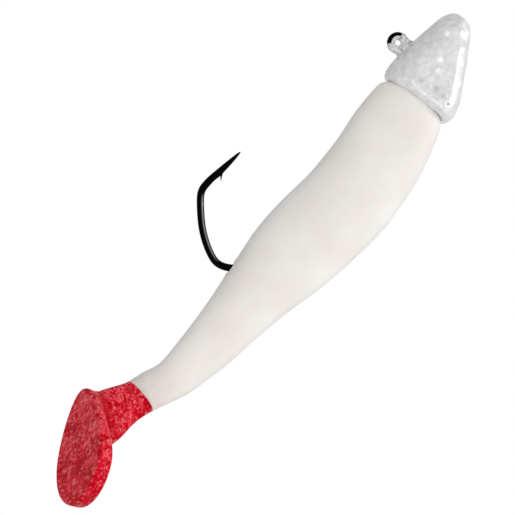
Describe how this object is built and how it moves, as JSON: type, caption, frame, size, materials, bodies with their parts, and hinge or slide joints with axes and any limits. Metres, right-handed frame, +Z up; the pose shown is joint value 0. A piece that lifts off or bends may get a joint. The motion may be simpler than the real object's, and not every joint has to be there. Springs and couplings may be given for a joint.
{
  "type": "swimbait",
  "caption": "Paddle-tail soft swimbait threaded on a lead-headed jig hook, with a white body, a red glitter tail and a pearl-coated head.",
  "frame": {"origin": "centre of the line-tie ring, which holds the bait up on the line", "axes": "+X forward along the hook shank to the nose, +Z up to the back and the hook point, +Y to the bait's left side"},
  "size_m": [0.1338, 0.0278, 0.0337],
  "materials": {
    "hook_steel": "gloss",
    "cast_lead": "matte",
    "pearl_coat": "gloss",
    "white_plastisol": "satin",
    "red_plastisol": "satin"
  },
  "bodies": {
    "jig": {"hook": "hook_steel", "lead_head": "cast_lead", "head_coat": "pearl_coat", "body_front": "white_plastisol"},
    "rear_body": {"body_flex": "white_plastisol", "body_rear": "white_plastisol"},
    "tail": {"tail_wrist": "red_plastisol", "tail_paddle": "red_plastisol"}
  },
  "joints": [
    {"name": "rear_body_sway", "type": "hinge", "parent": "jig", "child": "rear_body", "pos_m": [-0.06765, -0.00019, -0.0178], "axis": [0, 0, 1], "range_deg": [-40, 16], "stiffness_Nm_per_rad": 0.003, "deforming": ["body_flex"]},
    {"name": "tail_kick", "type": "hinge", "parent": "rear_body", "child": "tail", "pos_m": [-0.09657, -0.00506, -0.01414], "axis": [0.432, 0.1053, 0.8957], "range_deg": [-58, 32], "stiffness_Nm_per_rad": 0.001, "deforming": ["tail_wrist"]}
  ]
}
